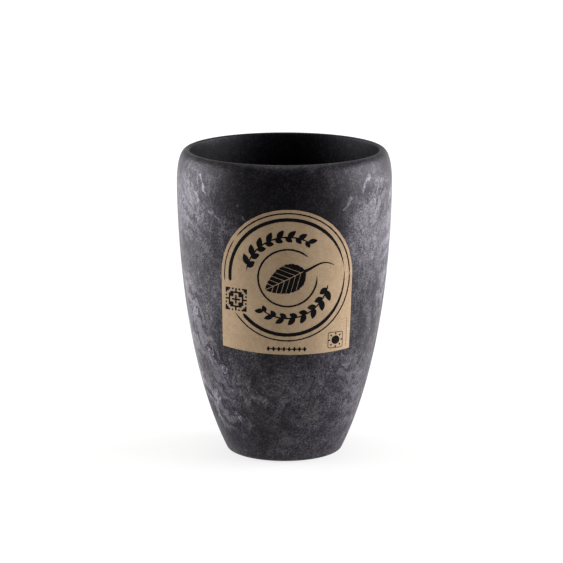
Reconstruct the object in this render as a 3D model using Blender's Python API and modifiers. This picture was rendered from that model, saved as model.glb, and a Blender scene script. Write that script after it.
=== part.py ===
"""Tall drinking cup, moulded in one piece from dark wood-fibre composite, with a paper label.

Metres, +Z up. The origin is the middle of the foot, on the surface that the cup stands on.
The label is stuck to the -Y side. Run with blender --background --python part.py.
"""
import math

import bmesh
import bpy

MM = 0.001

# Outer form of the cup
HEIGHT = 114.5 * MM
BELLY_RADIUS = 40.0 * MM  # at the widest place
SHOULDER_HEIGHT = 12.5 * MM  # from the widest place up to the lip
LIP_INSET = 4.0 * MM  # how far the lip's crest stands in from the widest place
LIP_ROUND = 0.8 * MM  # the rounded edge from the crest into the mouth
FOOT_RADIUS = 21.5 * MM  # where the line of the wall meets the surface below
FOOT_LEAN = math.radians(64.0)  # between that line and the surface
FOOT_ROUND = 1.5 * MM

# How far each stretch of the wall holds its direction before it bends away
FOOT_REACH = 38.5 * MM
BELLY_REACH = 16.0 * MM
SHOULDER_REACH = 4.0 * MM
LIP_REACH = 3.5 * MM

# Hollow
WALL = 3.8 * MM
FLOOR = 4.6 * MM
DRAFT = math.radians(0.6)  # lean of the mouth, which lets the moulding core out
CORE_BLEND = 0.7 * MM  # softens the bend between the straight mouth and the even wall
CORNER_RISE = 6.5 * MM  # height of the rounding between the floor and the wall

# Underside
RING_WIDTH = 4.0 * MM  # the flat ring that the cup stands on
RECESS_DEPTH = 1.0 * MM
RECESS_SLOPE = 1.5 * MM

# Paper label, measured along the wall
LABEL_WIDTH = 50.6 * MM
LABEL_LENGTH = 54.8 * MM
LABEL_DROP = 3.0 * MM  # from the widest place down to the top of its arch
LABEL_SHIFT = 1.1 * MM  # it is stuck on a little off centre and a little askew
LABEL_TURN = math.radians(-1.4)
LABEL_SAG = 1.1 * MM  # its straight lower edge bows down on the tapering wall
LABEL_THICKNESS = 0.15 * MM
LABEL_CLEARANCE = 0.3 * MM

# Smoothness
TURN_STEPS = 64
SLEEVE_STEPS = 120
SLEEVE_ROWS = 14
WALL_STEPS = 16
SHOULDER_STEPS = 6
MOUTH_STEPS = 10
ROUND_STEPS = 3
CORNER_STEPS = 4
ARCH_STEPS = 24
EDGE_STEPS = 6
WALK_STEPS = 600  # short steps for measuring along the wall
SMOOTH_ANGLE = math.radians(35)
MERGE = 0.01 * MM


# ---- curves, as (radius, height) points ----

def bezier(handles, t):
    """Point at t, from 0 to 1, on a cubic curve with four handles."""
    u = 1 - t
    weights = (u ** 3, 3 * u * u * t, 3 * u * t * t, t ** 3)
    return tuple(sum(w * p[axis] for w, p in zip(weights, handles)) for axis in range(2))


def towards(a, b, share):
    """Point that lies a share of the way from a to b."""
    return tuple(p + (q - p) * share for p, q in zip(a, b))


def rounded(start, corner, end, steps):
    """Points of an arc from start to end, which lie equally far from the corner that it rounds."""
    way_in = math.atan2(corner[1] - start[1], corner[0] - start[0])
    way_out = math.atan2(end[1] - corner[1], end[0] - corner[0])
    turn = abs(math.remainder(way_out - way_in, 2 * math.pi))
    share = 4 / 3 * math.tan(turn / 4) / math.tan(turn / 2)
    handles = (start, towards(start, corner, share), towards(end, corner, share), end)
    return [bezier(handles, i / steps) for i in range(steps + 1)]


def wall_handles():
    """Outer wall, from the foot's corner up to the widest place."""
    belly = HEIGHT - SHOULDER_HEIGHT
    knee = (FOOT_RADIUS + FOOT_REACH * math.cos(FOOT_LEAN), FOOT_REACH * math.sin(FOOT_LEAN))
    return (FOOT_RADIUS, 0), knee, (BELLY_RADIUS, belly - BELLY_REACH), (BELLY_RADIUS, belly)


def shoulder_handles():
    """Outer wall, from the lip's crest down to the widest place."""
    belly = HEIGHT - SHOULDER_HEIGHT
    crest = BELLY_RADIUS - LIP_INSET
    near_belly = (BELLY_RADIUS, belly + SHOULDER_REACH)
    return (crest, HEIGHT), (crest + LIP_REACH, HEIGHT), near_belly, (BELLY_RADIUS, belly)


def wall_share(height):
    """Where along the wall's curve it reaches a height, found by halving."""
    low, high = 0.0, 1.0
    for _ in range(40):
        middle = (low + high) / 2
        if bezier(wall_handles(), middle)[1] < height:
            low = middle
        else:
            high = middle
    return high


def outer_radius(height):
    """Radius of the outer wall, held at its widest above the widest place."""
    return bezier(wall_handles(), wall_share(height))[0]


def inner_radius(height):
    """Radius of the hollow: a straight mouth that runs into a wall of even thickness."""
    step = 0.1 * MM
    lean = (outer_radius(height + step) - outer_radius(height - step)) / (2 * step)
    even = outer_radius(height) - WALL * math.hypot(1, lean)
    depth = HEIGHT - LIP_ROUND - height
    straight = BELLY_RADIUS - LIP_INSET - LIP_ROUND - math.tan(DRAFT) * depth
    blend = CORE_BLEND * (1 - math.exp(-depth / SHOULDER_HEIGHT))
    return (even + straight) / 2 - math.hypot((even - straight) / 2, blend)


def floor_points():
    """Floor of the hollow from the axis outwards, with the rounding up into the wall."""
    level = RECESS_DEPTH + FLOOR
    top = level + CORNER_RISE
    radius = inner_radius(top)
    step = 0.1 * MM
    lean = (inner_radius(top + step) - inner_radius(top - step)) / (2 * step)
    corner = (radius - CORNER_RISE * lean, level)
    floor_edge = (corner[0] - CORNER_RISE * math.hypot(1, lean), level)
    return [(0, level)] + rounded(floor_edge, corner, (radius, top), CORNER_STEPS)


def mouth_points():
    """Inside of the wall from the floor's rounding up to the lip, and over its rounded edge."""
    low = RECESS_DEPTH + FLOOR + CORNER_RISE
    high = HEIGHT - LIP_ROUND
    heights = [low + (high - low) * i / MOUTH_STEPS for i in range(1, MOUTH_STEPS)]
    crest = BELLY_RADIUS - LIP_INSET
    mouth = crest - LIP_ROUND
    edge = rounded((mouth, high), (mouth, HEIGHT), (crest, HEIGHT), ROUND_STEPS)
    return [(inner_radius(height), height) for height in heights] + edge


def outside_points():
    """Shoulder and outer wall, from just past the lip's crest down to the foot's rounding."""
    shoulder = [bezier(shoulder_handles(), i / SHOULDER_STEPS) for i in range(1, SHOULDER_STEPS)]
    cut = FOOT_ROUND * math.tan(FOOT_LEAN / 2)
    lowest = wall_share(cut * math.sin(FOOT_LEAN))
    shares = [1 - (1 - lowest) * i / WALL_STEPS for i in range(WALL_STEPS)]
    wall = [bezier(wall_handles(), share) for share in shares]
    start = (FOOT_RADIUS + cut * math.cos(FOOT_LEAN), cut * math.sin(FOOT_LEAN))
    foot = rounded(start, (FOOT_RADIUS, 0), (FOOT_RADIUS - cut, 0), ROUND_STEPS)
    return shoulder + wall + foot


def underside_points():
    """Inner edge of the flat ring, and the shallow recess inside it."""
    ring = FOOT_RADIUS - FOOT_ROUND * math.tan(FOOT_LEAN / 2) - RING_WIDTH
    return [(ring, 0), (ring - RECESS_SLOPE, RECESS_DEPTH), (0, RECESS_DEPTH)]


# ---- places on the wall, for the label ----

def wall_below(distance):
    """Point of the outer wall at a distance below the widest place, measured along the wall."""
    previous = bezier(wall_handles(), 1)
    walked = 0.0
    for i in range(1, WALK_STEPS + 1):
        point = bezier(wall_handles(), 1 - i / WALK_STEPS)
        step = math.dist(previous, point)
        if walked + step >= distance:
            return towards(previous, point, (distance - walked) / step)
        walked += step
        previous = point
    return previous


def proud_of_wall(distance, proud):
    """The same point moved out from the wall, square to it."""
    step = 0.2 * MM
    above, below = wall_below(distance - step), wall_below(distance + step)
    run = math.dist(above, below)
    radius, height = wall_below(distance)
    return radius + proud * (above[1] - below[1]) / run, height - proud * (above[0] - below[0]) / run


def label_outline():
    """Arched outline of the flat label round the arch's centre: right side first, then over the top."""
    half = LABEL_WIDTH / 2
    low = half - LABEL_LENGTH
    corner = low + LABEL_SAG
    arch = [i * math.pi / ARCH_STEPS for i in range(ARCH_STEPS + 1)]
    points = [(half * math.cos(angle), half * math.sin(angle)) for angle in arch]
    points += [(-half, corner * i / EDGE_STEPS) for i in range(1, EDGE_STEPS)]
    lower = [half * (2 * i / EDGE_STEPS - 1) for i in range(EDGE_STEPS + 1)]
    points += [(across, low + LABEL_SAG * (across / half) ** 2) for across in lower]
    points += [(half, corner * (1 - i / EDGE_STEPS)) for i in range(1, EDGE_STEPS)]
    return points


def label_front():
    """The outline as it stands on the wall, seen square on from -Y, as (x, z) points."""
    turn_cos, turn_sin = math.cos(LABEL_TURN), math.sin(LABEL_TURN)
    seen = []
    for across, up in label_outline():
        along = LABEL_SHIFT + across * turn_cos - up * turn_sin
        below = LABEL_DROP + LABEL_WIDTH / 2 - across * turn_sin - up * turn_cos
        radius, height = proud_of_wall(below, LABEL_CLEARANCE)
        seen.append((radius * math.sin(along / radius), height))
    return seen


# ---- objects ----

def new_collection(name):
    collection = bpy.data.collections.new(name)
    bpy.context.scene.collection.children.link(collection)
    return collection


def finish_material(name, color, roughness):
    """Plain surface finish for one piece."""
    material = bpy.data.materials.new(name)
    material.use_nodes = True
    shader = material.node_tree.nodes["Principled BSDF"]
    shader.inputs["Base Color"].default_value = (*color, 1)
    shader.inputs["Roughness"].default_value = roughness
    shader.inputs["Metallic"].default_value = 0
    return material


def turned(name, profile, steps, closed, collection):
    """Solid turned about Z from a profile that runs down its outer side."""
    mesh = bpy.data.meshes.new(name)
    edges = [(i, i + 1) for i in range(len(profile) - 1)]
    if closed:
        edges.append((len(profile) - 1, 0))
    mesh.from_pydata([(radius, 0, height) for radius, height in profile], edges, [])
    piece = bpy.data.objects.new(name, mesh)
    collection.objects.link(piece)
    screw = piece.modifiers.new("turn", "SCREW")
    screw.steps = screw.render_steps = steps
    screw.use_merge_vertices = True
    screw.merge_threshold = MERGE
    screw.use_smooth_shade = True
    return piece


def upright_plate(name, outline, near, far, collection):
    """Plate with its outline in the XZ plane, from y = near to y = far, as a closed mesh."""
    curve = bpy.data.curves.new(name, "CURVE")
    curve.dimensions = "2D"
    curve.fill_mode = "BOTH"
    curve.extrude = (far - near) / 2
    spline = curve.splines.new("POLY")
    spline.points.add(len(outline) - 1)
    for point, (x, z) in zip(spline.points, outline):
        point.co = (x, z, 0, 1)
    spline.use_cyclic_u = True
    drawn = bpy.data.objects.new(name + "_outline", curve)
    drawn.rotation_euler.x = math.radians(90)
    drawn.location.y = (near + far) / 2
    collection.objects.link(drawn)
    bpy.context.view_layer.update()
    view = bpy.context.evaluated_depsgraph_get()
    mesh = bpy.data.meshes.new_from_object(drawn.evaluated_get(view))
    welded = bmesh.new()
    welded.from_mesh(mesh)
    bmesh.ops.remove_doubles(welded, verts=welded.verts, dist=MERGE)
    bmesh.ops.recalc_face_normals(welded, faces=welded.faces)
    welded.to_mesh(mesh)
    welded.free()
    plate = bpy.data.objects.new(name, mesh)
    plate.matrix_world = drawn.matrix_world
    collection.objects.link(plate)
    bpy.data.objects.remove(drawn)
    return plate


def make_cup_body(collection):
    """The one-piece cup, with its hollow, rounded lip and recessed foot."""
    profile = floor_points() + mouth_points() + outside_points() + underside_points()
    body = turned("cup_body", profile, TURN_STEPS, False, collection)
    color = (0.036, 0.033, 0.037)
    body.data.materials.append(finish_material("dark_composite", color, 0.52))
    return body


def make_paper_label(collection, cutters):
    """The arched label: the part of a thin sleeve round the wall that lies inside its outline."""
    top = LABEL_DROP / 2
    bottom = LABEL_DROP * 2 + LABEL_LENGTH
    rows = [top + (bottom - top) * i / SLEEVE_ROWS for i in range(SLEEVE_ROWS + 1)]
    outer = [proud_of_wall(row, LABEL_CLEARANCE + LABEL_THICKNESS) for row in rows]
    inner = [proud_of_wall(row, LABEL_CLEARANCE) for row in reversed(rows)]
    label = turned("paper_label", outer + inner, SLEEVE_STEPS, True, collection)
    plate = upright_plate("label_cutter", label_front(), -2 * BELLY_RADIUS, 0, cutters)
    plate.hide_render = True
    plate.display_type = "WIRE"
    cut = label.modifiers.new("outline", "BOOLEAN")
    cut.operation = "INTERSECT"
    cut.solver = "EXACT"
    cut.object = plate
    label.data.materials.append(finish_material("kraft_paper", (0.40, 0.28, 0.17), 0.85))
    return label


def main():
    for old in list(bpy.data.objects):
        bpy.data.objects.remove(old)
    pieces = new_collection("wood_composite_cup")
    cutters = new_collection("cutters")
    stand = bpy.data.objects.new("cup", None)
    pieces.objects.link(stand)
    for piece in (make_cup_body(pieces), make_paper_label(pieces, cutters)):
        piece.parent = stand


main()
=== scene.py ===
import bisect
import math

import bpy
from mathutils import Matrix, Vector, noise


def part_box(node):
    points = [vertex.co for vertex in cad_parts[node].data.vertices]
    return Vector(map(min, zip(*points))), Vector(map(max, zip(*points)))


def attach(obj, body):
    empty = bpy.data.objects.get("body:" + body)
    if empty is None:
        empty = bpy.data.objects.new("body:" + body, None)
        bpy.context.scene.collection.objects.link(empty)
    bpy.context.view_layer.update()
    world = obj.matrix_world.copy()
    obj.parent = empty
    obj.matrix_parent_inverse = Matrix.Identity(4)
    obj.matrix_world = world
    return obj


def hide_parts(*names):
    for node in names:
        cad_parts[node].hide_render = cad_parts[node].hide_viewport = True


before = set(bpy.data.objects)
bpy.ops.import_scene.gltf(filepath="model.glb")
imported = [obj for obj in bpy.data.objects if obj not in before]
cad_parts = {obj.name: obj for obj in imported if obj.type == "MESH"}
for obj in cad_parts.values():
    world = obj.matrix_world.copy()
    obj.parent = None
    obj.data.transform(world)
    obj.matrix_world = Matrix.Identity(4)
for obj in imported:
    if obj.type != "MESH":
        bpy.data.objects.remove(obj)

# A tall drinking cup of dark wood composite, with an arched kraft label on its front (-Y).
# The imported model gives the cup's size and where the label's top lies. The rest is made here.

mm = 0.001
creaseAngle = math.radians(40)  # edges sharper than this stay sharp in smooth shading
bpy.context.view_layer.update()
cupLow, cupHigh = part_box("cup_body")
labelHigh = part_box("paper_label")[1]
print("frame loaded, cup", [round(side / mm, 1) for side in cupHigh - cupLow], "mm")


# camera
cameraView = {
    "place": (-0.0011, -1.0, 0.2865),
    "lookDown": math.radians(12.55),
    "lens": 174.8,
    "sensor": 36,
    "clip": (0.05, 20),
}


def makeCamera():
    data = bpy.data.cameras.new("studioCamera")
    data.lens = cameraView["lens"]
    data.sensor_width = cameraView["sensor"]
    data.clip_start, data.clip_end = cameraView["clip"]
    camera = bpy.data.objects.new("studioCamera", data)
    camera.location = cameraView["place"]
    camera.rotation_euler = (math.radians(90) - cameraView["lookDown"], 0, 0)
    bpy.context.scene.collection.objects.link(camera)
    bpy.context.scene.camera = camera


makeCamera()
print("camera set")


# working as by hand: selection, edit mode, modifiers
def deselectAll():
    bpy.ops.object.select_all(action="DESELECT")


def makeActive(piece):
    deselectAll()
    piece.select_set(True)
    bpy.context.view_layer.objects.active = piece


def startEditing(piece):
    makeActive(piece)
    bpy.ops.object.mode_set(mode="EDIT")


def stopEditing():
    bpy.ops.object.mode_set(mode="OBJECT")


def selectAll():
    bpy.ops.mesh.select_all(action="SELECT")


def faceOutward(piece):
    startEditing(piece)
    selectAll()
    bpy.ops.mesh.normals_make_consistent(inside=False)
    stopEditing()


def cutThrough(place, normal, **settings):
    selectAll()
    bpy.ops.mesh.bisect(plane_co=place, plane_no=normal, **settings)


def applyPlace():
    bpy.ops.object.transform_apply(location=True, rotation=True, scale=True)


def nameNew(name):
    piece = bpy.context.object
    piece.name = piece.data.name = name
    return piece


def selectFaces(piece, wanted):
    # picks the faces that pass the test
    stopEditing()
    mesh = piece.data
    for part in (mesh.vertices, mesh.edges, mesh.polygons):
        part.foreach_set("select", [False] * len(part))
    for face in mesh.polygons:
        face.select = wanted(face)
    bpy.ops.object.mode_set(mode="EDIT")
    bpy.ops.mesh.select_mode(type="FACE")


def thicken(piece, thickness):
    # a closed wall on the front side of an open surface
    solid = piece.modifiers.new("thickness", "SOLIDIFY")
    solid.thickness = thickness
    solid.offset = 1
    makeActive(piece)
    bpy.ops.object.modifier_apply(modifier=solid.name)


# the cup's form, as (radius, height) points
cupShape = {
    "radius": (cupHigh.x - cupLow.x) / 2,
    "height": cupHigh.z,
    "shoulder": 12.5 * mm,  # from the widest place up to the lip
    "lipInset": 4.0 * mm,
    "lipRound": 0.8 * mm,
    "footRadius": 21.5 * mm,
    "footLean": math.radians(64),
    "footRound": 1.5 * mm,
    "footReach": 38.5 * mm,
    "bellyReach": 16.0 * mm,
    "shoulderReach": 4.0 * mm,
    "lipReach": 3.5 * mm,
    "wall": 3.8 * mm,
    "floor": 4.6 * mm,
    "draft": math.radians(0.6),
    "coreBlend": 0.7 * mm,
    "cornerRise": 6.5 * mm,
    "ringWidth": 4.0 * mm,
    "recess": 1.0 * mm,
    "recessSlope": 1.5 * mm,
    "ringRound": 0.5 * mm,  # softened inner edge of the ring that it stands on
    "gateDish": 5.5 * mm,  # round dish under the foot, where the mould was filled
    "gateDepth": 0.35 * mm,
    "gateStub": 1.3 * mm,
    "stubTop": 0.85,  # of the stub's radius at its foot
    "wallRows": 64,
    "shoulderRows": 18,
    "hollowRows": 48,
    "roundRows": 7,
    "cornerRows": 12,
    "turns": 176,
    "slopeStep": 0.1 * mm,  # a slope is measured this far to each side
    "mergeWithin": 0.002 * mm,
}


def bezier(handles, t):
    u = 1 - t
    weights = (u ** 3, 3 * u * u * t, 3 * u * t * t, t ** 3)
    return tuple(sum(w * p[axis] for w, p in zip(weights, handles)) for axis in range(2))


def towards(a, b, share):
    return tuple(p + (q - p) * share for p, q in zip(a, b))


def roundedCorner(start, corner, end, steps):
    wayIn = math.atan2(corner[1] - start[1], corner[0] - start[0])
    wayOut = math.atan2(end[1] - corner[1], end[0] - corner[0])
    turn = abs(math.remainder(wayOut - wayIn, 2 * math.pi))
    share = 4 / 3 * math.tan(turn / 4) / math.tan(turn / 2)
    handles = (start, towards(start, corner, share), towards(end, corner, share), end)
    return [bezier(handles, i / steps) for i in range(steps + 1)]


def softCorner(before, corner, after, reach, steps=4):
    # the corner of a path, rounded over a reach to each side
    start = towards(corner, before, reach / math.dist(corner, before))
    end = towards(corner, after, reach / math.dist(corner, after))
    return roundedCorner(start, corner, end, steps)


belly = (cupShape["radius"], cupShape["height"] - cupShape["shoulder"])
crest = (cupShape["radius"] - cupShape["lipInset"], cupShape["height"])
mouth = (crest[0] - cupShape["lipRound"], crest[1] - cupShape["lipRound"])
wallCurve = (
    (cupShape["footRadius"], 0),
    (cupShape["footRadius"] + cupShape["footReach"] * math.cos(cupShape["footLean"]),
     cupShape["footReach"] * math.sin(cupShape["footLean"])),
    (belly[0], belly[1] - cupShape["bellyReach"]),
    belly,
)
shoulderCurve = (
    crest,
    (crest[0] + cupShape["lipReach"], crest[1]),
    (belly[0], belly[1] + cupShape["shoulderReach"]),
    belly,
)


def wallShare(height):
    # how far along the wall's curve a height lies, by halving
    low, high = 0.0, 1.0
    for _ in range(40):
        middle = (low + high) / 2
        if bezier(wallCurve, middle)[1] < height:
            low = middle
        else:
            high = middle
    return high


def wallRadius(height):
    return bezier(wallCurve, wallShare(height))[0]


def leanAt(radiusAt, height):
    # how fast a radius grows with height
    step = cupShape["slopeStep"]
    return (radiusAt(height + step) - radiusAt(height - step)) / (2 * step)


def hollowRadius(height):
    # a straight mouth with a little draft, which runs into a wall of even thickness
    even = wallRadius(height) - cupShape["wall"] * math.hypot(1, leanAt(wallRadius, height))
    depth = mouth[1] - height
    straight = mouth[0] - math.tan(cupShape["draft"]) * depth
    blend = cupShape["coreBlend"] * (1 - math.exp(-depth / cupShape["shoulder"]))
    return (even + straight) / 2 - math.hypot((even - straight) / 2, blend)


def hollowPath():
    level = cupShape["recess"] + cupShape["floor"]
    rise = cupShape["cornerRise"]
    top = level + rise
    radius = hollowRadius(top)
    lean = leanAt(hollowRadius, top)
    corner = (radius - rise * lean, level)
    edge = (corner[0] - rise * math.hypot(1, lean), level)
    path = [(0, level), (edge[0] / 2, level)]
    path += roundedCorner(edge, corner, (radius, top), cupShape["cornerRows"])
    rows = cupShape["hollowRows"]
    heights = [top + (mouth[1] - top) * i / rows for i in range(1, rows)]
    path += [(hollowRadius(height), height) for height in heights]
    path += roundedCorner(mouth, (mouth[0], crest[1]), crest, cupShape["roundRows"])
    return path


def outsidePath():
    rows = cupShape["shoulderRows"]
    path = [bezier(shoulderCurve, i / rows) for i in range(1, rows)]
    lean = cupShape["footLean"]
    cut = cupShape["footRound"] * math.tan(lean / 2)
    lowest = wallShare(cut * math.sin(lean))
    rows = cupShape["wallRows"]
    path += [bezier(wallCurve, 1 - (1 - lowest) * i / rows) for i in range(rows)]
    foot = (cupShape["footRadius"], 0)
    start = (foot[0] + cut * math.cos(lean), cut * math.sin(lean))
    path += roundedCorner(start, foot, (foot[0] - cut, 0), cupShape["roundRows"])
    return path


def undersidePath():
    inner = cupShape["footRadius"] - cupShape["footRound"] * math.tan(cupShape["footLean"] / 2)
    inner -= cupShape["ringWidth"]
    up = cupShape["recess"]
    dish = up + cupShape["gateDepth"]
    ring = [(inner + cupShape["ringWidth"] / 2, 0), (inner, 0), (inner - cupShape["recessSlope"], up)]
    gate = [(cupShape["gateDish"], up), (cupShape["gateDish"] - cupShape["gateDepth"], dish),
            (cupShape["gateStub"], dish), (cupShape["gateStub"] * cupShape["stubTop"], up)]
    corners = ring + gate + [(0, up)]
    path = []
    for i in range(1, len(corners) - 1):
        reach = cupShape["ringRound"] if i < len(ring) else cupShape["gateDepth"] / 4
        path += softCorner(*corners[i - 1:i + 2], reach)
    return path + [(0, up)]


def makeCup():
    path = hollowPath() + outsidePath() + undersidePath()
    deselectAll()
    bpy.ops.mesh.primitive_plane_add(size=mm, location=(path[0][0], 0, path[0][1]))
    cup = nameNew("cup")
    startEditing(cup)
    bpy.ops.mesh.merge(type="CENTER")  # one point, at the start of the outline
    for here, there in zip(path, path[1:]):
        move = (there[0] - here[0], 0, there[1] - here[1])
        bpy.ops.mesh.extrude_vertices_move(TRANSFORM_OT_translate={"value": move})
    selectAll()
    bpy.ops.mesh.spin(steps=cupShape["turns"], angle=math.tau, center=(0, 0, 0), axis=(0, 0, 1),
                      use_auto_merge=True)
    selectAll()
    bpy.ops.mesh.remove_doubles(threshold=cupShape["mergeWithin"])
    bpy.ops.mesh.normals_make_consistent(inside=False)
    stopEditing()
    applyPlace()
    bpy.ops.object.shade_smooth_by_angle(angle=creaseAngle)
    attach(cup, "root")
    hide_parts("cup_body")
    print("cup turned,", len(path), "outline points,", len(cup.data.polygons), "faces")
    return cup


cup = makeCup()


# laying flat things on the cup's wall
labelShape = {
    "width": 50.6 * mm,
    "length": 54.8 * mm,
    "sag": 1.1 * mm,  # its straight lower edge bows down on the tapering wall
    "shift": 1.1 * mm,  # stuck on a little off centre and a little askew
    "turn": math.radians(-1.4),
    "lift": 0.08 * mm,
    "thickness": 0.16 * mm,
    "columns": 44,
    "rows": 48,
    "archCuts": 44,
    "mergeWithin": 0.02 * mm,
    "slopeStep": 0.2 * mm,  # the wall's slope is measured this far to each side
    "wallSteps": 1500,
    "tuck": 0.7 * mm,  # its lower left corner sits a little further in
}


def measureWall(steps):
    # distance along the wall from its widest place down, with the point reached
    points = [bezier(wallCurve, 1 - i / steps) for i in range(steps + 1)]
    reached = [0.0]
    for here, there in zip(points, points[1:]):
        reached.append(reached[-1] + math.dist(here, there))
    return reached, points


wallReached, wallPoints = measureWall(labelShape["wallSteps"])


def wallBelow(distance):
    i = min(max(bisect.bisect(wallReached, distance), 1), len(wallReached) - 1)
    share = (distance - wallReached[i - 1]) / (wallReached[i] - wallReached[i - 1])
    return towards(wallPoints[i - 1], wallPoints[i], share)


labelTop = wallReached[next(i for i, p in enumerate(wallPoints) if p[1] < labelHigh.z)]


def onWall(across, up, lift):
    # a flat point, counted from the arch's centre, laid on the wall with a lift square to it
    turn = labelShape["turn"]
    along = labelShape["shift"] + across * math.cos(turn) - up * math.sin(turn)
    below = labelTop + labelShape["width"] / 2 - across * math.sin(turn) - up * math.cos(turn)
    radius, height = wallBelow(below)
    step = labelShape["slopeStep"]
    above, under = wallBelow(below - step), wallBelow(below + step)
    run = math.dist(above, under)
    angle = along / radius
    radius += lift * (above[1] - under[1]) / run
    height -= lift * (above[0] - under[0]) / run
    return Vector((radius * math.sin(angle), -radius * math.cos(angle), height))


def layOnWall(piece, lift):
    for vertex in piece.data.vertices:
        vertex.co = onWall(vertex.co.x, vertex.co.y, lift)
    piece.data.update()


def cutAcross(piece, way, spacing, reach):
    # even cuts, so that a flat shape can follow the wall
    startEditing(piece)
    steps = int(reach / spacing)
    for i in range(-steps, steps + 1):
        cutThrough(way * (i * spacing), way)
    stopEditing()


def makeLabel():
    half = labelShape["width"] / 2
    low = half - labelShape["length"]
    deselectAll()
    bpy.ops.mesh.primitive_grid_add(x_subdivisions=labelShape["columns"],
                                    y_subdivisions=labelShape["rows"], size=1)
    label = nameNew("label")
    for vertex in label.data.vertices:
        across = vertex.co.x * 2 * half
        sag = labelShape["sag"] * (across / half) ** 2
        share = vertex.co.y + 0.5
        up = low + sag + (half - low - sag) * share
        if across < 0:
            across *= 1 - labelShape["tuck"] / half * max(0.0, up / low)
        vertex.co = (across, up, 0)
    startEditing(label)
    for i in range(labelShape["archCuts"] + 1):
        angle = math.pi * (i + 0.5) / (labelShape["archCuts"] + 1)
        way = (math.cos(angle), math.sin(angle), 0)
        cutThrough([half * part for part in way], way, clear_outer=True)
    selectAll()
    bpy.ops.mesh.remove_doubles(threshold=labelShape["mergeWithin"])
    stopEditing()
    layOnWall(label, labelShape["lift"])
    thicken(label, labelShape["thickness"])
    faceOutward(label)
    bpy.ops.object.shade_smooth_by_angle(angle=creaseAngle)
    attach(label, "root")
    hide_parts("paper_label")
    print("label laid on the wall,", len(label.data.polygons), "faces")
    return label


label = makeLabel()


# the label's print: rings, twigs, a leaf, and small ornaments, all flat first
printShape = {
    "gap": 0.004 * mm,  # between the paper and the ink
    "thickness": 0.012 * mm,
    "rough": 0.08 * mm,  # unevenness of a printed edge
    "roughSize": 0.9 * mm,
    "strokeStep": 0.35 * mm,
    "taperPower": 0.6,
    "thinnest": 0.12,  # of the full stroke, at a tapered end
    "cutsAcross": 1.0 * mm,
    "cutsUp": 3.0 * mm,
}

# radius, widest stroke, start and end angle in degrees, and how far the stroke tapers at each end
ringStrokes = {
    "fineTop": (24.0, 0.54, 2, 143, 3, 5),
    "fineLeft": (24.0, 0.40, 147, 187, 6, 4),
    "fineBottom": (24.0, 0.54, 217, 362, 6, 3),
    "boldTop": (21.7, 1.30, 10, 187, 46, 2),
    "boldBottom": (21.7, 1.40, 222, 365, 3, 56),
    "openCircle": (10.7, 0.70, 48, 364, 12, 14),
}


def roughen(across, up, seed):
    size = printShape["roughSize"]
    return printShape["rough"] * noise.noise(Vector((across / size, up / size, seed)))


def onCircle(radius, angle, centre=(0, 0)):
    return centre[0] + radius * math.cos(angle), centre[1] + radius * math.sin(angle)


def taper(distance, reach):
    return min(1, max(0.0, distance / reach)) ** printShape["taperPower"]


def ringStroke(name, radius, width, start, end, taperIn, taperOut, seed):
    radius, width = radius * mm, width * mm
    start, end = math.radians(start), math.radians(end)
    deselectAll()
    bpy.ops.mesh.primitive_plane_add(size=width, location=(radius, 0, 0))
    stroke = nameNew(name)
    applyPlace()
    startEditing(stroke)
    bpy.ops.mesh.select_all(action="DESELECT")
    stopEditing()
    for vertex in stroke.data.vertices:
        vertex.select = vertex.co.y > 0
    bpy.ops.object.mode_set(mode="EDIT")
    bpy.ops.mesh.select_mode(type="VERT")
    bpy.ops.mesh.delete(type="VERT")  # leaves one edge, across the stroke
    selectAll()
    bpy.ops.transform.translate(value=(0, width / 2, 0))
    steps = max(8, int((end - start) * radius / printShape["strokeStep"]))
    bpy.ops.mesh.spin(steps=steps, angle=end - start, center=(0, 0, 0), axis=(0, 0, -1))
    stopEditing()
    for vertex in stroke.data.vertices:
        angle = math.atan2(vertex.co.y, vertex.co.x) % math.tau
        if angle > end - start + 0.01:  # just below the start, by rounding
            angle = 0.0
        fromStart, fromEnd = math.degrees(angle), math.degrees(end - start - angle)
        full = max(taper(fromStart, taperIn) * taper(fromEnd, taperOut), printShape["thinnest"])
        side = 1 if vertex.co.to_2d().length > radius else -1
        angle += start
        across, up = onCircle(radius, angle)
        out = radius + side * (width / 2 * full + roughen(across, up, seed + side))
        vertex.co = (*onCircle(out, angle), 0)
    return stroke


def turned(x, y, way, place):
    # a flat point, turned by an angle and moved to its place
    return (place[0] + x * math.cos(way) - y * math.sin(way),
            place[1] + x * math.sin(way) + y * math.cos(way), 0)


smallLeaf = {"bluntness": 0.35, "fullRoot": 0.2}


def leafShape(name, place, way, length, width, corners=18):
    # a pointed oval from place, with its tip lying the given way
    deselectAll()
    bpy.ops.mesh.primitive_circle_add(vertices=corners, radius=0.5, fill_type="NGON")
    leaf = nameNew(name)
    for vertex in leaf.data.vertices:
        t = vertex.co.x * 2
        form = (1 - t * t) ** smallLeaf["bluntness"] * (1 - smallLeaf["fullRoot"] * t)
        vertex.co = turned((vertex.co.x + 0.5) * length, vertex.co.y * width * form, way, place)
    return leaf


def dotShape(name, place, radius, corners=10, stretch=1.0):
    deselectAll()
    bpy.ops.mesh.primitive_circle_add(vertices=corners, radius=radius, fill_type="NGON")
    dot = nameNew(name)
    for vertex in dot.data.vertices:
        vertex.co = (place[0] + vertex.co.x, place[1] + vertex.co.y * stretch, 0)
    return dot


twigShape = {
    "radius": 15.3 * mm,
    "stem": 0.55,
    "stemTaper": (14, 5),
    "leaves": 8,
    "leafLength": 4.4 * mm,
    "leafWidth": 2.35 * mm,
    "lean": math.radians(38),
    "firstLeaf": 0.35,  # of a leaf's spacing, from the stem's start
    "shrink": 0.25,  # of a leaf's size, towards the tip
    "stagger": math.radians(3.2),
    "innerShare": 0.82,  # the inner leaves are shorter
    "arcs": ((172, 56), (-10, -130)),  # start and end angle, both running clockwise
}


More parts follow.
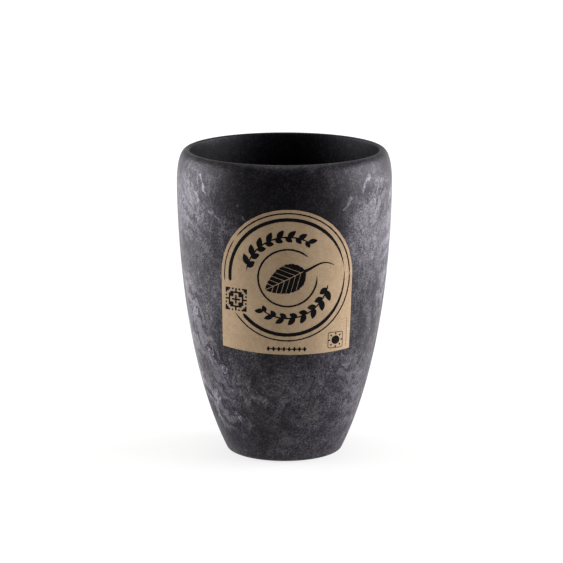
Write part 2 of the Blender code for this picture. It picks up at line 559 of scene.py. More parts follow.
def makeTwigs():
    pieces = []
    for count, (start, end) in enumerate(twigShape["arcs"]):
        pieces.append(ringStroke("twigStem", twigShape["radius"] / mm, twigShape["stem"], end, start,
                                 *twigShape["stemTaper"], 20 + count))
        for i in range(twigShape["leaves"]):
            share = (i + twigShape["firstLeaf"]) / twigShape["leaves"]
            angle = math.radians(start + (end - start) * share)
            size = 1 - twigShape["shrink"] * i / twigShape["leaves"]
            for side in (1, -1):
                here = angle - twigShape["stagger"] * (side > 0)
                root = onCircle(twigShape["radius"], here)
                way = here - math.pi / 2 + side * twigShape["lean"]  # clockwise, leaning out or in
                length = twigShape["leafLength"] * size * (1 if side > 0 else twigShape["innerShare"])
                pieces.append(leafShape("twigLeaf", root, way, length, twigShape["leafWidth"] * size))
    return pieces


bigLeaf = {
    "tip": (-7.9 * mm, -4.6 * mm),
    "root": (6.3 * mm, 2.9 * mm),
    "corners": 132,
    "width": 10.8 * mm,
    "bluntness": 0.18,
    "fullRoot": 0.34,  # how much wider it is towards its root
    "teeth": 13,
    "toothDepth": 0.09,
    "veins": 6,
    "veinGap": 0.24 * mm,
    "veinLean": math.radians(48),
    "firstVein": 0.75,  # of a vein's spacing, from the root
    "veinSpare": 1.2,  # spacings that are left free along the midrib
    "sideVein": 0.8,  # its width, against the midrib's
    "midribEnd": 0.9,
    "veinReach": 0.36,  # of the width, from the midrib
    "stem": ((5.6, 2.5), (9.5, 3.6), (12.2, 7.6), (17.2, 4.6)),
    "stemWidth": 1.05 * mm,
    "stemTaper": (1.15, 0.9),  # its width at the root, and what it loses on the way
    "stemSteps": 40,
}


def makeBigLeaf():
    # drawn along X with its root at the left, cut by its veins, then turned into place
    tip, root = Vector(bigLeaf["tip"]), Vector(bigLeaf["root"])
    length = (tip - root).length
    way = math.atan2(tip.y - root.y, tip.x - root.x)
    deselectAll()
    bpy.ops.mesh.primitive_circle_add(vertices=bigLeaf["corners"], radius=0.5, fill_type="NGON")
    leaf = nameNew("leafBlade")
    for vertex in leaf.data.vertices:
        t = vertex.co.x * 2
        ripple = (t * bigLeaf["teeth"] / 2) % 1
        tooth = 1 - bigLeaf["toothDepth"] * (1 - ripple)
        form = (1 - t * t) ** bigLeaf["bluntness"] * (1 - bigLeaf["fullRoot"] * t) * tooth
        vertex.co = ((vertex.co.x + 0.5) * length, vertex.co.y * bigLeaf["width"] * form, 0)
    gap = bigLeaf["veinGap"] / 2
    sideGap = gap * bigLeaf["sideVein"]
    spacings = bigLeaf["veins"] + bigLeaf["veinSpare"]
    startEditing(leaf)
    for shift in (-gap, gap):
        cutThrough((0, shift, 0), (0, 1, 0))
    cuts = []
    for side in (1, -1):
        lean = bigLeaf["veinLean"]
        square = Vector((-side * math.sin(lean), math.cos(lean), 0))
        for i in range(bigLeaf["veins"]):
            foot = Vector((length * (i + bigLeaf["firstVein"]) / spacings, 0, 0))
            cuts.append((side, foot, square))
            for shift in (-sideGap, sideGap):
                selectFaces(leaf, lambda face: face.center.y * side > gap)
                bpy.ops.mesh.bisect(plane_co=foot + square * shift, plane_no=square)

    def inVein(face):
        centre = face.center
        if abs(centre.y) < gap:
            return centre.x < length * bigLeaf["midribEnd"]
        if abs(centre.y) > bigLeaf["width"] * bigLeaf["veinReach"]:
            return False
        return any(centre.y * side > 0 and abs((centre - foot).dot(square)) < sideGap
                   for side, foot, square in cuts)

    selectFaces(leaf, inVein)
    bpy.ops.mesh.delete(type="FACE")
    stopEditing()
    for vertex in leaf.data.vertices:
        vertex.co = turned(vertex.co.x, vertex.co.y, way, root)
    return leaf


def makeStem():
    # the big leaf's stem, a tapering stroke along a curve
    handles = [(x * mm, y * mm) for x, y in bigLeaf["stem"]]
    wide, loss = bigLeaf["stemTaper"]
    deselectAll()
    bpy.ops.mesh.primitive_grid_add(x_subdivisions=bigLeaf["stemSteps"], y_subdivisions=1, size=1)
    stem = nameNew("leafStem")
    for vertex in stem.data.vertices:
        t = vertex.co.x + 0.5
        here, ahead = bezier(handles, max(t - 0.01, 0)), bezier(handles, min(t + 0.01, 1))
        square = Vector((here[1] - ahead[1], ahead[0] - here[0])).normalized()
        point = Vector(bezier(handles, t))
        width = bigLeaf["stemWidth"] * (wide - loss * t) + roughen(point.x, point.y, 40)
        point += square * vertex.co.y * width
        vertex.co = (point.x, point.y, 0)
    return stem


mosaic = {
    "centre": (-19.1 * mm, -9.4 * mm),
    "size": 8.7 * mm,
    "cells": 13,
}


def makeMosaic():
    # cross-stitch square, the same in all four quarters
    deselectAll()
    cells = mosaic["cells"]
    bpy.ops.mesh.primitive_grid_add(x_subdivisions=cells, y_subdivisions=cells, size=mosaic["size"],
                                    location=(*mosaic["centre"], 0))
    square = nameNew("stitchSquare")
    applyPlace()
    cell = mosaic["size"] / cells
    middle = cells // 2

    def openCell(face):
        # i and j count the cells from the middle one, across and up
        i = abs(round((face.center.x - mosaic["centre"][0]) / cell))
        j = abs(round((face.center.y - mosaic["centre"][1]) / cell))
        border = max(i, j) == middle and (i + j) % 2 == 0
        star = i + j <= middle and (i * j) % 2 == 0 and i + j != 3
        corners = min(i, j) >= 3 and abs(i - j) <= 1 and i + j not in (8, 9)
        return not (border or star or corners)

    startEditing(square)
    selectFaces(square, openCell)
    bpy.ops.mesh.delete(type="FACE")
    stopEditing()
    return square


badge = {
    "centre": (18.9 * mm, -24.4 * mm),
    "size": 6.4 * mm,
    "line": 0.26 * mm,
    "corner": 0.9 * mm,
    "cornerSteps": 5,
    "sun": 1.7 * mm,
    "rays": 8,
    "rayReach": 1.22,  # of the sun's radius
    "ray": (1.05 * mm, 0.62 * mm),
}


def makeBadge():
    deselectAll()
    bpy.ops.mesh.primitive_plane_add(size=badge["size"], location=(*badge["centre"], 0))
    outline = nameNew("badgeFrame")
    applyPlace()
    startEditing(outline)
    selectAll()
    bpy.ops.mesh.bevel(offset=badge["corner"], segments=badge["cornerSteps"], affect="VERTICES")
    selectAll()
    bpy.ops.mesh.inset(thickness=badge["line"], depth=0)
    bpy.ops.mesh.delete(type="FACE")  # the inset leaves the middle face selected
    stopEditing()
    centre = badge["centre"]
    pieces = [outline, dotShape("badgeSun", centre, badge["sun"], 24)]
    for i in range(badge["rays"]):
        angle = math.tau * i / badge["rays"]
        root = onCircle(badge["sun"] * badge["rayReach"], angle, centre)
        pieces.append(leafShape("badgeRay", root, angle, *badge["ray"], 12))
    return pieces


borderRow = {
    "centre": (0.3 * mm, -27.3 * mm),
    "width": 13.2 * mm,
    "count": 8,
    "diamond": 0.68 * mm,
    "stretch": 1.5,
    "dot": 0.3 * mm,
}

edgeDots = {
    "across": 23.6 * mm,
    "low": -27.2 * mm,
    "high": -16.6 * mm,
    "count": 17,
    "radius": 0.2 * mm,
}


def makeSmallOrnaments():
    pieces = []
    x, y = borderRow["centre"]
    step = borderRow["width"] / (borderRow["count"] - 1)
    for i in range(borderRow["count"]):
        place = (x + (i - (borderRow["count"] - 1) / 2) * step, y)
        pieces.append(dotShape("rowDiamond", place, borderRow["diamond"], 4, borderRow["stretch"]))
        if i:
            pieces.append(dotShape("rowDot", (place[0] - step / 2, y), borderRow["dot"]))
    for i in range(edgeDots["count"]):
        up = edgeDots["low"] + (edgeDots["high"] - edgeDots["low"]) * i / (edgeDots["count"] - 1)
        pieces.append(dotShape("edgeDot", (edgeDots["across"], up), edgeDots["radius"], 6))
    return pieces


def makePrint():
    pieces = [ringStroke(name, *values, seed)
              for seed, (name, values) in enumerate(ringStrokes.items())]
    pieces += makeTwigs()
    pieces += [makeBigLeaf(), makeStem(), makeMosaic()]
    pieces += makeBadge()
    pieces += makeSmallOrnaments()
    deselectAll()
    for piece in pieces:
        piece.select_set(True)
    bpy.context.view_layer.objects.active = pieces[0]
    bpy.ops.object.join()
    ink = nameNew("label_print")
    cutAcross(ink, Vector((1, 0, 0)), printShape["cutsAcross"], labelShape["width"] / 2)
    cutAcross(ink, Vector((0, 1, 0)), printShape["cutsUp"], labelShape["length"] / 2)
    faceOutward(ink)
    startEditing(ink)
    selectFaces(ink, lambda face: face.normal.z < 0)
    bpy.ops.mesh.flip_normals()
    stopEditing()
    layOnWall(ink, labelShape["lift"] + labelShape["thickness"] + printShape["gap"])
    thicken(ink, printShape["thickness"])
    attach(ink, "root")
    print("print laid on the label,", len(ink.data.polygons), "faces")
    return ink


ink = makePrint()


# working with shader nodes
def plug(tree, value, socket):
    if isinstance(value, bpy.types.NodeSocket):
        tree.links.new(value, socket)
    else:
        socket.default_value = value


def plugAll(tree, node, inputs):
    for name, value in inputs.items():
        plug(tree, value, node.inputs[name])


def addNode(tree, kind, inputs=None, **settings):
    node = tree.nodes.new("ShaderNode" + kind)
    for name, value in settings.items():
        setattr(node, name, value)
    plugAll(tree, node, inputs or {})
    return node


def calc(tree, operation, a, b=0.0, clamp=False):
    return addNode(tree, "Math", {0: a, 1: b}, operation=operation, use_clamp=clamp).outputs[0]


def plus(tree, a, b):
    return calc(tree, "ADD", a, b)


def minus(tree, a, b):
    return calc(tree, "SUBTRACT", a, b)


def times(tree, product, *others):
    for other in others:
        product = calc(tree, "MULTIPLY", product, other)
    return product


def vectorCalc(tree, operation, a, b=(0, 0, 0), result=0):
    return addNode(tree, "VectorMath", {0: a, 1: b}, operation=operation).outputs[result]


def dotProduct(tree, a, b):
    return vectorCalc(tree, "DOT_PRODUCT", a, b, 1)


def scaleVector(tree, vector, share):
    return addNode(tree, "VectorMath", {"Vector": vector, "Scale": share}, operation="SCALE").outputs[0]


def fade(tree, value, start, end, low=0.0, high=1.0):
    # smooth change from low at start to high at end
    sockets = {"Value": value, "From Min": start, "From Max": end, "To Min": low, "To Max": high}
    return addNode(tree, "MapRange", sockets, interpolation_type="SMOOTHSTEP").outputs["Result"]


def mixColors(tree, share, a, b):
    return addNode(tree, "Mix", {0: share, 6: a, 7: b}, data_type="RGBA").outputs[2]


def wander(tree, place, scale, detail, reach):
    # a shift that changes from place to place, by up to half its reach each way
    noisy = addNode(tree, "TexNoise", {"Vector": place, "Scale": scale, "Detail": detail})
    return scaleVector(tree, vectorCalc(tree, "SUBTRACT", noisy.outputs["Color"], (0.5, 0.5, 0.5)), reach)


def tone(*parts):
    return (*parts, 1.0)


def newGroup(name, vectors, numbers, result):
    # a node group, from the names of its inputs and of its one output
    tree = bpy.data.node_groups.new(name, "ShaderNodeTree")
    for kind, labels in (("NodeSocketVector", vectors), ("NodeSocketFloat", numbers)):
        for label in labels:
            tree.interface.new_socket(label, in_out="INPUT", socket_type=kind)
    tree.interface.new_socket(result, in_out="OUTPUT", socket_type="NodeSocketFloat")
    give = tree.nodes.new("NodeGroupOutput").inputs[result]
    return tree, tree.nodes.new("NodeGroupInput").outputs, give


def useGroup(tree, group, place, inputs):
    node = addNode(tree, "Group", node_tree=group)
    plugAll(tree, node, {"Vector": place, **inputs})
    return node.outputs[0]


# effects that the finishes share
cloudPattern = {
    "detail": 6.0,
    "driftScale": 0.6,  # of the clouds' own scale
    "driftDetail": 2.0,
}


def makeDriftedClouds():
    # soft patches, drawn out along one way and bent by a slower drift
    tree, take, give = newGroup("driftedClouds", ("Vector", "Turn", "Stretch"),
                                ("Scale", "Drift", "Roughness"), "Value")
    placed = addNode(tree, "Mapping", {"Vector": take["Vector"], "Rotation": take["Turn"],
                                       "Scale": take["Stretch"]}).outputs[0]
    slow = times(tree, take["Scale"], cloudPattern["driftScale"])
    bend = wander(tree, placed, slow, cloudPattern["driftDetail"], take["Drift"])
    clouds = addNode(tree, "TexNoise", {
        "Vector": vectorCalc(tree, "ADD", placed, bend), "Scale": take["Scale"],
        "Detail": cloudPattern["detail"], "Roughness": take["Roughness"]})
    plug(tree, clouds.outputs["Fac"], give)
    return tree


grainPattern = {
    "detail": 3.0,
    "roughness": 0.65,
    "clumpScale": 0.31,  # of the grain's own scale
    "clumpDetail": 2.0,
    "contrast": (0.3, 0.7),
}


def makeFineGrain():
    tree, take, give = newGroup("fineGrain", ("Vector",), ("Scale", "Clumping"), "Value")
    fine = addNode(tree, "TexNoise", {
        "Vector": take["Vector"], "Scale": take["Scale"], "Detail": grainPattern["detail"],
        "Roughness": grainPattern["roughness"]})
    clumps = addNode(tree, "TexNoise", {
        "Vector": take["Vector"], "Scale": times(tree, take["Scale"], grainPattern["clumpScale"]),
        "Detail": grainPattern["clumpDetail"]})
    mixed = addNode(tree, "Mix", {0: take["Clumping"], 2: fine.outputs["Fac"], 3: clumps.outputs["Fac"]})
    plug(tree, fade(tree, mixed.outputs[0], *grainPattern["contrast"]), give)
    return tree


fibrePattern = {
    "waverScale": 1.7,  # of the cells' own scale
    "waverDetail": 1.0,
    "upright": (0.02, 0.03, 1),  # leans a little, so that no face lies right across it
    "endSoftness": 0.6,  # share of the half length where the end begins to fade
    "depthSoftness": 0.5,
}


def makeStrayFibres():
    # one short fibre in each cell, lying in the surface at its own angle
    tree, take, give = newGroup(
        "strayFibres", ("Vector", "Normal"),
        ("Scale", "Length", "Width", "Angle", "Spread", "Waver", "Depth"), "Mask")
    scaled = scaleVector(tree, take["Vector"], take["Scale"])
    waver = wander(tree, scaled, fibrePattern["waverScale"], fibrePattern["waverDetail"], take["Waver"])
    bent = vectorCalc(tree, "ADD", scaled, waver)
    cells = addNode(tree, "TexVoronoi", {"Vector": bent, "Scale": 1.0})
    away = vectorCalc(tree, "SUBTRACT", bent, cells.outputs["Position"])
    chance = addNode(tree, "SeparateColor", {0: cells.outputs["Color"]}).outputs["Red"]
    level = vectorCalc(tree, "CROSS_PRODUCT", fibrePattern["upright"], take["Normal"])
    level = vectorCalc(tree, "NORMALIZE", level)
    rising = vectorCalc(tree, "CROSS_PRODUCT", take["Normal"], level)
    angle = plus(tree, times(tree, minus(tree, chance, 0.5), take["Spread"]), take["Angle"])
    cosine, sine = calc(tree, "COSINE", angle), calc(tree, "SINE", angle)
    alongLevel, alongRising = dotProduct(tree, away, level), dotProduct(tree, away, rising)
    along = plus(tree, times(tree, alongLevel, cosine), times(tree, alongRising, sine))
    across = minus(tree, times(tree, alongRising, cosine), times(tree, alongLevel, sine))
    under = dotProduct(tree, away, take["Normal"])
    halfLength = times(tree, take["Length"], 0.5)
    endFade = times(tree, halfLength, fibrePattern["endSoftness"])
    depthFade = times(tree, take["Depth"], fibrePattern["depthSoftness"])
    ends = fade(tree, calc(tree, "ABSOLUTE", along), halfLength, endFade)
    sides = fade(tree, calc(tree, "ABSOLUTE", across), take["Width"], 0.0)
    bare = fade(tree, calc(tree, "ABSOLUTE", under), take["Depth"], depthFade)
    plug(tree, times(tree, ends, sides, bare), give)
    return tree


veinPattern = {"Detail": 5.0, "Roughness": 0.62, "Distortion": 0.4}


def makeThinVeins():
    # wandering hairlines, where a drawn-out noise crosses its middle value
    tree, take, give = newGroup("thinVeins", ("Vector", "Stretch"), ("Scale", "Width"), "Mask")
    placed = addNode(tree, "Mapping", {"Vector": take["Vector"], "Scale": take["Stretch"]}).outputs[0]
    field = addNode(tree, "TexNoise", {"Vector": placed, "Scale": take["Scale"], **veinPattern})
    off = calc(tree, "ABSOLUTE", minus(tree, field.outputs["Fac"], 0.5))
    plug(tree, fade(tree, off, take["Width"], 0.0), give)
    return tree


streakCore = 0.15  # share of its reach where a streak is at its full strength


def makeStreak():
    # a soft patch round a short line
    tree, take, give = newGroup("raggedStreak", ("Vector", "Centre", "Along"), ("Reach",), "Mask")
    away = vectorCalc(tree, "SUBTRACT", take["Vector"], take["Centre"])
    run = calc(tree, "DIVIDE", dotProduct(tree, away, take["Along"]),
               dotProduct(tree, take["Along"], take["Along"]))
    run = calc(tree, "MAXIMUM", calc(tree, "MINIMUM", run, 1.0), -1.0)
    nearest = scaleVector(tree, take["Along"], run)
    distance = vectorCalc(tree, "DISTANCE", away, nearest, 1)
    plug(tree, fade(tree, distance, take["Reach"], times(tree, take["Reach"], streakCore)), give)
    return tree


driftedClouds = makeDriftedClouds()
fineGrain = makeFineGrain()
thinVeins = makeThinVeins()
raggedStreak = makeStreak()
strayFibres = makeStrayFibres()


def startMaterial(piece, name):
    material = bpy.data.materials.new(name)
    material.use_nodes = True
    piece.data.materials.append(material)
    tree = material.node_tree
    places = addNode(tree, "TexCoord").outputs
    return tree, tree.nodes["Principled BSDF"], places["Object"], places["Normal"]


def addBump(tree, surface, height, depth, strength):
    bump = addNode(tree, "Bump", {"Height": height, "Distance": depth, "Strength": strength})
    tree.links.new(bump.outputs[0], surface.inputs["Normal"])


# the cup's finish: black moulded composite with pale wood fibre clouded through it
# A fade is where it starts and ends and its values there, which are 0 and 1 where they are left out.
compositeLook = {
    "dark": tone(0.0026, 0.0023, 0.0029),
    "pale": tone(0.044, 0.038, 0.052),
    "warmPale": tone(0.050, 0.041, 0.045),
    "warmFade": (-0.17, 0.07),  # marble less clouds
    "clouds": {"Stretch": (1, 1, 0.8), "Scale": 34.0, "Drift": 0.02, "Roughness": 0.65},
    "marble": {"Turn": (0.5, 0.7, 0.2), "Stretch": (1, 1, 0.5), "Scale": 120.0, "Drift": 0.014,
               "Roughness": 0.72},
    "marbleShare": 0.9,
    "veilFade": (0.67, 1.22, 0.08, 0.64),  # from clouds and marble to how much fibre shows
    "streakShare": 0.55,
    "ragged": ((70.0, 3.0, 16 * mm), (300.0, 3.0, 5 * mm)),  # scale, detail and reach, at two sizes
    "strandWaver": (260.0, 2.0, 4.2 * mm),
    "layerStep": 6.6 * mm,  # the melt's flow lines, seen as layers low on the left
    "layerRise": (0.40, -0.40, 0.82),
    "layerBend": 3.6,
    "layerUp": (0.0, 0.85),  # each layer rises slowly
    "layerDown": (1.0, 0.93),  # and ends at a sharp edge
    "layerClouds": (0.48, 0.68, 0.0, 0.16),  # they show a little in the clouds too
    "layerStrength": 1.9,
    "footShadeFade": (4 * mm, 38 * mm, 0.60, 1.0),  # painted shade: less pale fibre shows, so the cup is darker towards the foot
    "lipShadeFade": (97 * mm, 112 * mm, 1.0, 0.45),  # painted shade: darker towards the lip too
    "hollowShadeFade": (-2 * mm, 4 * mm, 0.38, 1.0),  # painted shade: darker in the hollow too
    "grain": {"Scale": 1500.0, "Clumping": 0.25},
    "dust": {"Scale": 2550.0, "Clumping": 0.1},
    "grainShare": 0.6,
    "dustShare": 0.4,
    "mottleFade": (0.2, 0.8, 0.28, 1.72),
    "speckGrain": (0.55, 0.85),
    "speckFade": (0.6, 0.0, 0.0, 0.20),  # pale grains in the black too
    "deepPaintedLight": tone(0.085, 0.076, 0.086),  # painted light: far down the hollow the colour is lifted to grey, so that the hollow shows
    "deepLightSide": (0.0, -3 * mm),
    "deepLightFade": (97 * mm, 72 * mm),
    "deepLightMottle": (0.3, 1.3, 0.25, 1.0),
    "fibre": tone(0.22, 0.20, 0.23),
    "shortFibres": {"Scale": 520.0, "Length": 0.9, "Width": 0.13, "Angle": 0.9, "Spread": 3.14,
                    "Waver": 0.6, "Depth": 0.35},
    "longFibres": {"Scale": 230.0, "Length": 0.9, "Width": 0.07, "Angle": 0.9, "Spread": 1.2,
                   "Waver": 0.9, "Depth": 0.3},
    "veins": {"Stretch": (1, 1, 0.45), "Scale": 85.0, "Width": 0.022},
    "veinFade": (0.25, 0.5),  # veins show in the pale streaks only
    "fibreFade": (0.1, 0.8, 0.04, 0.62),
    "fibreMottle": (0.2, 0.6, 0.35, 1.0),
    "fibreHollow": (-2 * mm, 4 * mm, 0.1, 1.0),
    "rough": (0.1, 0.9, 0.40, 0.56),
    "specular": 0.14,
    "coat": (0.0, 0.85, 0.045, 1.0),  # pale fibre is shinier than the black
    "coatRough": 0.44,
    "fibreRelief": 0.8,
    "grainDepth": 0.05 * mm,
    "bumpStrength": 0.5,
}

# Streaks: angle from the front in degrees and height in mm of both ends, reach in mm, and strength.
paleStreaks = (  # where the pale fibre gathered
    (-62, 104, -60, 90, 9, 0.28),
    (-70, 64, -44, 36, 8, 0.65),
    (-80, 50, -66, 44, 9, 0.35),
    (-48, 29, -18, 26, 7, 0.35),
    (-72, 28, -38, 14, 8, 0.6),
    (60, 104, 48, 90, 9, 0.34),
    (74, 86, 70, 60, 9, 0.35),
    (48, 34, 60, 16, 7, 0.3),
    (150, 95, 175, 60, 14, 0.25),
    (118, 60, 140, 30, 13, 0.25),
    (-120, 98, -150, 70, 14, 0.25),
    (-165, 45, -130, 20, 12, 0.28),
    (100, 108, 80, 98, 8, 0.3),
)
brightStrands = (
    (-60, 108, -57, 104.5, 0.5, 0.5),
    (-54, 110.5, -51.5, 104, 0.5, 0.45),
    (-52, 110, -45, 102.5, 0.8, 0.85),
    (-56.5, 103, -50, 98.8, 0.75, 1.0),
    (-49.8, 99, -52.5, 94.5, 0.5, 0.55),
    (-61, 103, -58.5, 98, 1.0, 0.35),
    (-74, 96.5, -67, 99, 0.6, 0.6),
    (-43, 97, -36, 93.5, 0.7, 0.4),
    (-25.5, 99.5, -21, 94.5, 0.6, 0.45),
    (45, 104, 51, 109, 1.2, 0.5),
    (33, 98.5, 38, 102, 0.9, 0.45),
    (140, 88, 136, 80, 0.7, 0.5),
    (-150, 92, -146, 85, 0.7, 0.5),
)
darkStreaks = (  # where the surface stayed black
    (-22, 100, 24, 98, 17, 0.75),
    (-10, 42, 12, 40, 11, 0.35),
    (-34, 84, -36, 62, 8, 0.3),
    (170, 105, -170, 100, 14, 0.4),
)


def wallPlace(angle, height):
    radius = wallRadius(min(height * mm, belly[1]))
    turn = math.radians(angle)
    return Vector((radius * math.sin(turn), -radius * math.cos(turn), height * mm))


def addStreaks(tree, place, streaks):
    total = 0.0
    for startAngle, startHeight, endAngle, endHeight, reach, strength in streaks:
        start, end = wallPlace(startAngle, startHeight), wallPlace(endAngle, endHeight)
        mask = useGroup(tree, raggedStreak, place, {
            "Centre": (start + end) / 2, "Along": (end - start) / 2, "Reach": reach * mm})
        total = calc(tree, "MAXIMUM", total, times(tree, mask, strength))
    return total


def makeComposite():
    look = compositeLook
    tree, surface, place, normal = startMaterial(cup, "clouded_composite")

    def faded(value, name):
        return fade(tree, value, *look[name])

    # streaks are ragged because they read a place that is shaken
    shaken = place
    for shake in look["ragged"]:
        shaken = vectorCalc(tree, "ADD", shaken, wander(tree, place, *shake))
    wavering = vectorCalc(tree, "ADD", place, wander(tree, place, *look["strandWaver"]))
    pale = addStreaks(tree, shaken, paleStreaks)
    black = addStreaks(tree, shaken, darkStreaks)
    bright = addStreaks(tree, wavering, brightStrands)
    clouds = useGroup(tree, driftedClouds, place, look["clouds"])
    marble = useGroup(tree, driftedClouds, place, look["marble"])
    marble = times(tree, marble, look["marbleShare"])
    clouded = plus(tree, clouds, marble)
    # layers: a slow rise and a sharp edge, bent by the marbling
    rise = calc(tree, "DIVIDE", dotProduct(tree, place, look["layerRise"]), look["layerStep"])
    saw = calc(tree, "FRACT", plus(tree, rise, times(tree, clouded, look["layerBend"])))
    layers = minus(tree, times(tree, faded(saw, "layerUp"), faded(saw, "layerDown")), 0.5)
    layers = times(tree, layers, plus(tree, pale, faded(clouds, "layerClouds")))
    # veil: how much pale fibre shows
    height = addNode(tree, "SeparateXYZ", {0: place}).outputs["Z"]
    veil = plus(tree, faded(clouded, "veilFade"), times(tree, pale, look["streakShare"]))
    veil = plus(tree, veil, times(tree, layers, look["layerStrength"]))
    # painted shade: the veil is lowered towards the foot and towards the lip
    veil = times(tree, veil, minus(tree, 1.0, black), faded(height, "footShadeFade"), faded(height, "lipShadeFade"))
    grain = useGroup(tree, fineGrain, place, look["grain"])
    dust = useGroup(tree, fineGrain, place, look["dust"])
    mottle = plus(tree, times(tree, grain, look["grainShare"]), times(tree, dust, look["dustShare"]))
    outward = dotProduct(tree, vectorCalc(tree, "MULTIPLY", place, (1, 1, 0)), normal)
    # painted shade: less pale fibre shows in the hollow, so it is darker
    paleness = times(tree, veil, faded(mottle, "mottleFade"), faded(outward, "hollowShadeFade"))
    specks = times(tree, faded(mottle, "speckGrain"), faded(veil, "speckFade"))
    paleness = calc(tree, "ADD", paleness, specks, clamp=True)
    warmth = faded(minus(tree, marble, clouds), "warmFade")
    paleColor = mixColors(tree, warmth, look["pale"], look["warmPale"])
    color = mixColors(tree, paleness, look["dark"], paleColor)
    # painted light: far down the hollow the colour is lifted towards grey
    deepLight = times(tree, faded(outward, "deepLightSide"), faded(height, "deepLightFade"),
                 faded(plus(tree, veil, mottle), "deepLightMottle"))
    color = mixColors(tree, deepLight, color, look["deepPaintedLight"])
    # strands: stray fibres, veins and the single bright ones
    short, long = (useGroup(tree, strayFibres, place, {"Normal": normal, **look[name]})
                   for name in ("shortFibres", "longFibres"))
    veins = useGroup(tree, thinVeins, place, look["veins"])
    veins = times(tree, veins, faded(pale, "veinFade"))
    strands = times(tree, calc(tree, "MAXIMUM", short, long), faded(veil, "fibreFade"))
    strands = calc(tree, "MAXIMUM", strands, calc(tree, "MAXIMUM", veins, bright))
    strands = times(tree, strands, faded(mottle, "fibreMottle"), faded(outward, "fibreHollow"))
    plugAll(tree, surface, {
        "Base Color": mixColors(tree, strands, color, look["fibre"]),
        "Roughness": faded(mottle, "rough"), "Specular IOR Level": look["specular"],
        "Coat Weight": faded(plus(tree, paleness, strands), "coat"), "Coat Roughness": look["coatRough"]})
    relief = plus(tree, mottle, times(tree, strands, look["fibreRelief"]))
    addBump(tree, surface, relief, look["grainDepth"], look["bumpStrength"])


# the label's finish: brown kraft paper, and black ink printed on it
paperLook = {
    "base": tone(0.53, 0.390, 0.228),
    "shade": tone(0.40, 0.285, 0.160),
    "shadeFade": (0.3, 0.95),
    "clouds": {"Stretch": (1, 1, 0.6), "Scale": 110.0, "Drift": 0.01, "Roughness": 0.6},
    "cloudShare": 0.8,
    "grain": {"Scale": 1900.0, "Clumping": 0.3},
    "grainShare": 0.35,
    "fibres": {"Length": 1.0, "Width": 0.08, "Angle": 1.2, "Spread": 3.14, "Waver": 0.6, "Depth": 0.4},
    "fibreKinds": (  # colour, scale and strength
        (tone(0.23, 0.155, 0.085), 520.0, 0.32),
        (tone(0.70, 0.56, 0.37), 430.0, 0.30),
    ),
    "rough": (0.0, 1.0, 0.76, 0.90),
    "specular": 0.3,
    "grainDepth": 0.03 * mm,
    "bumpStrength": 0.4,
}


def coverSurface(tree, surface, look, color, grain):
    plugAll(tree, surface, {
        "Base Color": color, "Roughness": fade(tree, grain, *look["rough"]),
        "Specular IOR Level": look["specular"]})
    addBump(tree, surface, grain, paperLook["grainDepth"], look["bumpStrength"])


def makePaper():
    look = paperLook
    tree, surface, place, normal = startMaterial(label, "kraft_paper")
    clouds = useGroup(tree, driftedClouds, place, look["clouds"])
    grain = useGroup(tree, fineGrain, place, look["grain"])
    share = plus(tree, times(tree, clouds, look["cloudShare"]), times(tree, grain, look["grainShare"]))
    color = mixColors(tree, fade(tree, share, *look["shadeFade"]), look["base"], look["shade"])
    for shade, scale, strength in look["fibreKinds"]:
        strands = useGroup(tree, strayFibres, place, {"Normal": normal, "Scale": scale, **look["fibres"]})
        color = mixColors(tree, times(tree, strands, strength), color, shade)
    coverSurface(tree, surface, look, color, grain)


inkLook = {
    "ink": tone(0.0035, 0.0035, 0.004),
    "thin": tone(0.05, 0.036, 0.022),
    "clouds": {"Stretch": (1, 1, 1), "Scale": 160.0, "Drift": 0.006, "Roughness": 0.7},
    "wornGrain": (0.55, 1.0),  # the ink is thin where both are high
    "wornClouds": (0.45, 0.75, 0.1, 1.0),
    "rough": (0.0, 1.0, 0.62, 0.82),
    "specular": 0.08,
    "bumpStrength": 0.3,
}


def makeInk():
    look = inkLook
    tree, surface, place = startMaterial(ink, "printing_ink")[:3]
    clouds = useGroup(tree, driftedClouds, place, look["clouds"])
    grain = useGroup(tree, fineGrain, place, paperLook["grain"])
    worn = times(tree, fade(tree, grain, *look["wornGrain"]), fade(tree, clouds, *look["wornClouds"]))
    coverSurface(tree, surface, look, mixColors(tree, worn, look["ink"], look["thin"]), grain)


makeComposite()
makePaper()
makeInk()
print("finishes made")


# floor, lights and surroundings
studio = {
    "floorSize": 8.0,
    "floorTone": tone(0.25, 0.257, 0.235),
    "floorRough": 0.9,
    "floorGlow": 0.66,
    "shownGlow": (0.12, 0.9, 0.735, 0.95),  # the glow as it is seen, beside the cup and far away
    "frontEdge": (-0.30, -0.03, 0.05, 1.0),  # in what the cup sees, the floor darkens to the front
    "sideGlow": (0.05, 0.22, 1.0, 2.0),  # and brightens towards the lights
    "softBoxes": {  # place, width and height, and power
        "leftBox": ((-0.64, 0.08, 0.21), (0.66, 0.36), 5.6),
        "rightBox": ((0.64, 0.04, 0.21), (0.66, 0.36), 7.6),
    },
    "lightTone": tone(1.0, 0.97, 1.07),
    "aim": (0, 0, 0.06),
    "backdrop": (0.0, 0.55, 0.01, 1.0),  # dark in front, bright behind
    "backHeight": (0.0, 0.5, 1.0, 0.5),  # it fades with height
    "ceiling": (0.88, 0.98, 0.0, 2.6),  # light from straight above, so that the hollow shows
    "white": tone(1, 1, 1),
    "black": tone(0, 0, 0),
}


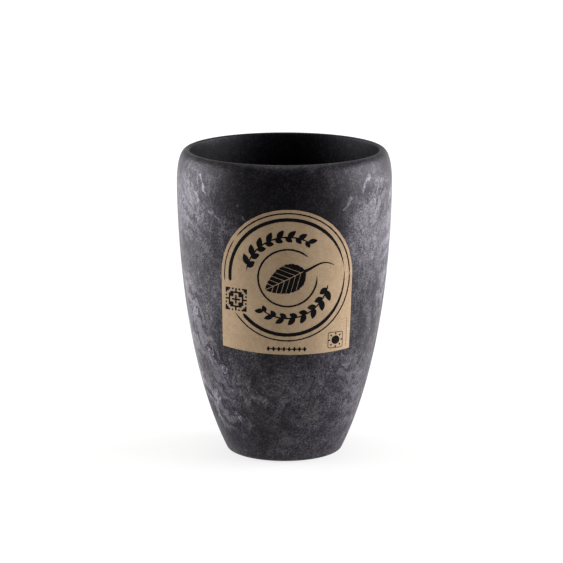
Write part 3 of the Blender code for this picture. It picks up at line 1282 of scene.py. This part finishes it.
def makeFloor():
    deselectAll()
    bpy.ops.mesh.primitive_plane_add(size=studio["floorSize"])
    floor = nameNew("studio_floor")
    tree, surface, place = startMaterial(floor, "pale_floor")[:3]
    parts = addNode(tree, "SeparateXYZ", {0: place}).outputs
    seen = addNode(tree, "LightPath").outputs["Is Camera Ray"]
    near = fade(tree, parts["Y"], *studio["frontEdge"])
    beside = fade(tree, calc(tree, "ABSOLUTE", parts["X"]), *studio["sideGlow"])
    away = vectorCalc(tree, "LENGTH", place, result=1)
    shown = times(tree, fade(tree, away, *studio["shownGlow"]), seen)
    hidden = times(tree, near, beside, studio["floorGlow"], minus(tree, 1.0, seen))
    bright = calc(tree, "MAXIMUM", near, seen)
    plugAll(tree, surface, {
        "Base Color": mixColors(tree, bright, studio["black"], studio["floorTone"]),
        "Roughness": studio["floorRough"],
        "Emission Color": mixColors(tree, seen, studio["lightTone"], studio["white"]),
        "Emission Strength": plus(tree, shown, hidden)})
    # seen from beneath it is clear, so that the foot can be looked at
    beneath = addNode(tree, "NewGeometry").outputs["Backfacing"]
    clear = addNode(tree, "BsdfTransparent").outputs[0]
    either = addNode(tree, "MixShader", {0: beneath, 1: surface.outputs[0], 2: clear})
    tree.links.new(either.outputs[0], tree.nodes["Material Output"].inputs["Surface"])


def makeLights():
    for name, (place, (width, height), power) in studio["softBoxes"].items():
        data = bpy.data.lights.new(name, "AREA")
        data.shape = "RECTANGLE"
        data.size, data.size_y = width, height
        data.energy = power
        data.color = studio["lightTone"][:3]
        lamp = bpy.data.objects.new(name, data)
        lamp.location = place
        lamp.rotation_euler = (Vector(studio["aim"]) - lamp.location).to_track_quat("-Z", "Y").to_euler()
        lamp.visible_camera = False
        bpy.context.scene.collection.objects.link(lamp)


def makeSurroundings():
    # white where the camera looks; for the cup, a bright backdrop behind and a dark room in front
    world = bpy.data.worlds.new("studio")
    bpy.context.scene.world = world
    world.use_nodes = True
    tree = world.node_tree
    way = addNode(tree, "TexCoord").outputs["Generated"]
    parts = addNode(tree, "SeparateXYZ", {0: way}).outputs
    light = times(tree, fade(tree, parts["Y"], *studio["backdrop"]),
                  fade(tree, parts["Z"], *studio["backHeight"]))
    light = plus(tree, light, fade(tree, parts["Z"], *studio["ceiling"]))
    seen = addNode(tree, "LightPath").outputs["Is Camera Ray"]
    plugAll(tree, tree.nodes["Background"], {
        "Color": studio["white"], "Strength": calc(tree, "MAXIMUM", light, seen)})


makeFloor()
makeLights()
makeSurroundings()
bpy.context.scene.view_settings.view_transform = "Standard"
print("studio set")


bpy.context.view_layer.update()
